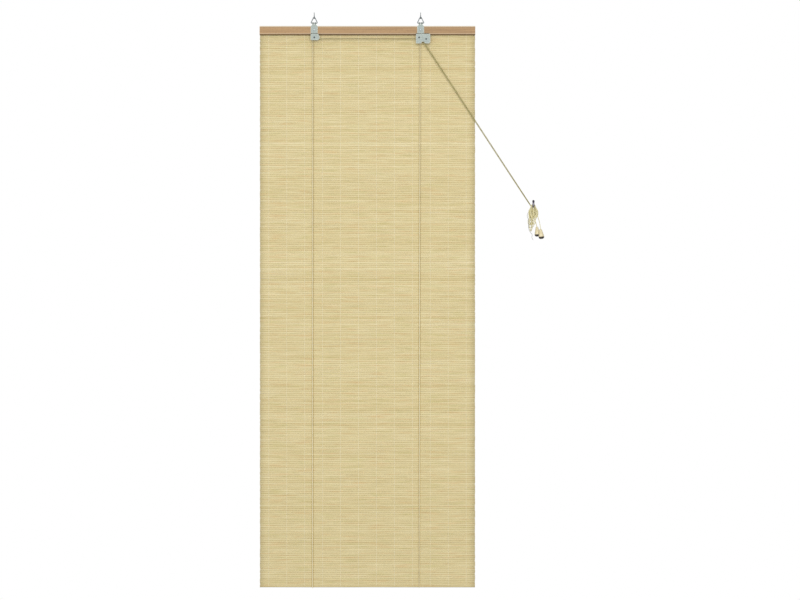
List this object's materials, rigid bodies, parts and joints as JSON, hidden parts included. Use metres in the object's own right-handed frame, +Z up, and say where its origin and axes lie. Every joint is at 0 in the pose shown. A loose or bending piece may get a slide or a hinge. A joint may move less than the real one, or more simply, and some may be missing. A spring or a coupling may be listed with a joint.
{
  "type": "bamboo roll up blind",
  "caption": "Long woven split-bamboo blind under a wooden head rail, hung on wire links, with lift cords, a cord lock and pull cords hooked up on a wall hook.",
  "frame": {"origin": "in the ceiling plane, midway between the two screw hooks", "axes": "+X along the head rail to the pull cord's side, the front faces -Y, +Z up"},
  "size_m": [0.7923, 0.0573, 1.6042],
  "materials": {
    "lacquered_batten": "satin lacquer",
    "split_bamboo": "natural",
    "staple_wire": "drawn wire",
    "zinc_sheet": "bright zinc, pressed",
    "zinc_screw": "bright zinc",
    "dark_rivet": "black oxide",
    "pulley_plastic": "moulded",
    "cam_steel": "zinc",
    "link_wire": "galvanised wire",
    "hook_steel": "dark steel",
    "cotton_cord": "braided, glazed",
    "grey_thread": "twisted",
    "gunmetal_hook": "gunmetal",
    "turned_wood": "clear varnish, dark rim"
  },
  "bodies": {
    "blind_frame": {"head_rail": "lacquered_batten", "bamboo_mat": "split_bamboo", "mat_staples": "staple_wire", "left_bracket": "zinc_sheet", "right_bracket": "zinc_sheet", "bracket_screws": "zinc_screw", "left_pulley_rivet": "dark_rivet", "right_pulley_pin": "zinc_screw", "spacer_rivet": "dark_rivet", "lock_rivet": "dark_rivet", "left_cord_anchor": "zinc_screw", "right_cord_anchor": "zinc_screw", "left_cord_end": "cotton_cord", "right_cord_end": "cotton_cord", "left_lift_cord": "cotton_cord", "right_lift_cord": "cotton_cord", "left_cord_run": "cotton_cord", "right_cord_run": "cotton_cord", "cord_hank": "cotton_cord", "pull_cord_1": "cotton_cord", "pull_cord_2": "cotton_cord", "pull_cord_1_tail": "cotton_cord", "pull_cord_2_tail": "cotton_cord", "tie_cord": "grey_thread", "cord_hook": "gunmetal_hook", "large_tassel": "turned_wood", "small_tassel": "turned_wood"},
    "hem": {"bottom_slat": "split_bamboo", "hem_staples": "staple_wire"},
    "left_pulley": {"left_pulley": "pulley_plastic"},
    "right_pulley": {"right_pulley": "pulley_plastic"},
    "lock_cam": {"lock_cam": "cam_steel"},
    "left_link": {"left_link": "link_wire"},
    "right_link": {"right_link": "link_wire"},
    "left_screw_hook": {"left_screw_hook": "hook_steel"},
    "right_screw_hook": {"right_screw_hook": "hook_steel"}
  },
  "joints": [
    {"name": "raise", "type": "slide", "parent": "blind_frame", "child": "hem", "axis": [0, 0, 1], "range_m": [0, 1.45], "deforming": ["bamboo_mat", "left_lift_cord", "right_lift_cord"]},
    {"name": "left_pulley_spin", "type": "hinge", "parent": "blind_frame", "child": "left_pulley", "pos_m": [-0.1474, -0.0008, -0.0619], "axis": [0, 1, 0], "continuous": true},
    {"name": "right_pulley_spin", "type": "hinge", "parent": "blind_frame", "child": "right_pulley", "pos_m": [0.1506, -0.004, -0.0619], "axis": [0, 1, 0], "continuous": true},
    {"name": "lock_cam_turn", "type": "hinge", "parent": "blind_frame", "child": "lock_cam", "pos_m": [0.1634, -0.0024, -0.0661], "axis": [0, -1, 0], "range_deg": [0, 35]},
    {"name": "left_link_swing", "type": "hinge", "parent": "blind_frame", "child": "left_link", "pos_m": [-0.148, 0, -0.0215], "axis": [1, 0, 0], "range_deg": [-80, 80]},
    {"name": "left_hook_swing", "type": "hinge", "parent": "left_link", "child": "left_screw_hook", "pos_m": [-0.148, 0, -0.00565], "axis": [1, 0, 0], "range_deg": [-40, 40]},
    {"name": "right_link_swing", "type": "hinge", "parent": "blind_frame", "child": "right_link", "pos_m": [0.148, 0, -0.0215], "axis": [1, 0, 0], "range_deg": [-80, 80]},
    {"name": "right_hook_swing", "type": "hinge", "parent": "right_link", "child": "right_screw_hook", "pos_m": [0.148, 0, -0.00565], "axis": [1, 0, 0], "range_deg": [-40, 40]}
  ],
  "couplings": [
    {"joint": "left_pulley_spin", "follows": "raise", "rad_per_m": 476.19},
    {"joint": "right_pulley_spin", "follows": "raise", "rad_per_m": 476.19}
  ]
}
